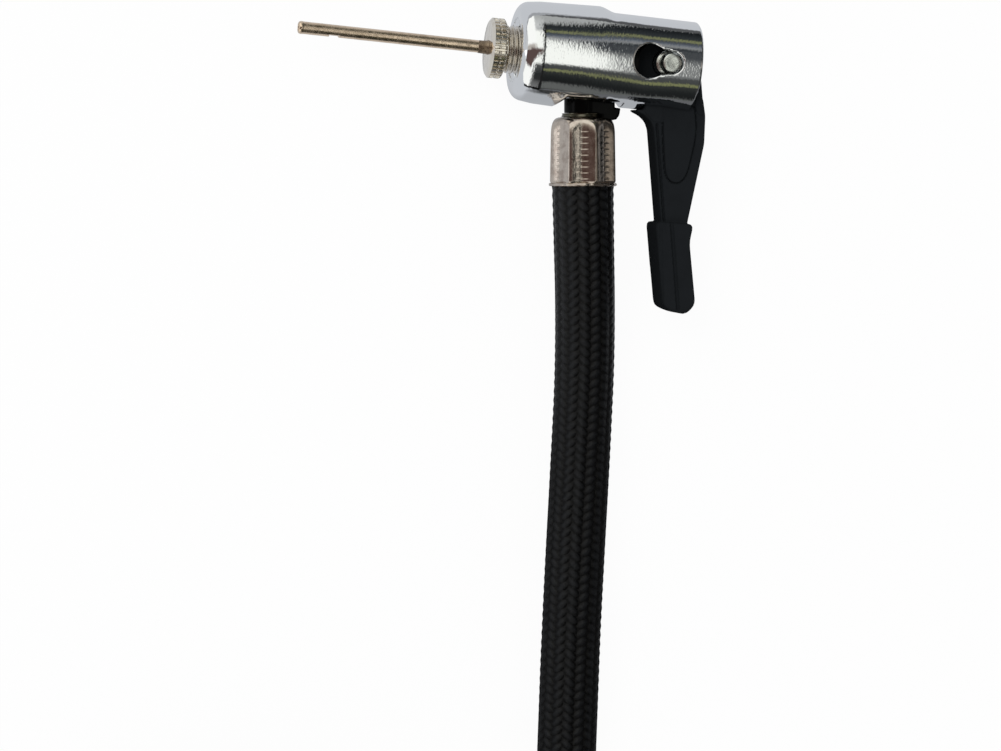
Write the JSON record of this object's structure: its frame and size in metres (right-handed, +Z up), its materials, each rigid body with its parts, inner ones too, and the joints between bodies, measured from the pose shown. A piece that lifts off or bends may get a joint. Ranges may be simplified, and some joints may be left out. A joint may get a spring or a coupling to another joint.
{
  "type": "tire inflator hose and chuck",
  "caption": "Hose end of a portable tire inflator: chrome clip-on lever chuck, ball needle adaptor in its mouth, and a black braided air hose, coiled and strapped, with a threaded end.",
  "frame": {"origin": "on the floor under the middle of the chuck, lever and needle adaptor; the cord is left out", "axes": "+X along the chuck from its mouth to its tail, so the needle points to -X; the hose and the locked lever run to -Y; +Z is up, along the hinge pin"},
  "size_m": [0.1169, 0.2359, 0.0231],
  "materials": {
    "chrome_body": "chrome plate over a cast body, slightly rippled",
    "pin_steel": "bright, faintly scratched",
    "lever_nylon": "satin moulded nylon",
    "black_plastic": "glossy black",
    "black_rubber": "matt",
    "brass": "turned",
    "nickel": "warm nickel plate",
    "ferrule_nickel": "warm nickel plate with pressed ticks",
    "needle_steel": "drawn tube, warm satin",
    "braze": "dull, uneven",
    "black_braid": "braided polyester yarn",
    "strap_fabric": "woven hook and loop strap"
  },
  "bodies": {
    "chuck": {"chuck_body": "chrome_body", "valve_seal": "black_rubber", "hinge_pin": "pin_steel"},
    "lever": {"lever": "lever_nylon"},
    "core": {"slide_core": "black_plastic", "thrust_washer": "brass", "valve_depressor": "brass", "port_gasket": "black_rubber", "hose_nipple": "nickel", "slot_cover": "black_plastic", "hose_ferrule": "ferrule_nickel", "hose_end_in_ferrule": "black_rubber", "hose_run": "black_braid", "hose_coil": "black_braid", "coil_strap": "strap_fabric", "far_ferrule": "ferrule_nickel", "hose_end_in_far_ferrule": "black_rubber", "far_nipple": "nickel", "far_washer": "black_rubber"},
    "adaptor": {"adaptor_base": "nickel", "needle_tube": "needle_steel", "needle_braze": "braze"}
  },
  "joints": [
    {"name": "lever_hinge", "type": "hinge", "parent": "chuck", "child": "lever", "pos_m": [0.02567, 0.01595, 0.0083], "axis": [0, 0, 1], "range_deg": [0, 80]},
    {"name": "core_slide", "type": "slide", "parent": "chuck", "child": "core", "axis": [1, 0, 0], "range_m": [0, 0.0013]},
    {"name": "adaptor_slide", "type": "slide", "parent": "chuck", "child": "adaptor", "axis": [-1, 0, 0], "range_m": [0, 0.01]}
  ],
  "couplings": [
    {"joint": "lever_hinge", "follows": "core_slide", "rad_per_m": 1074}
  ]
}
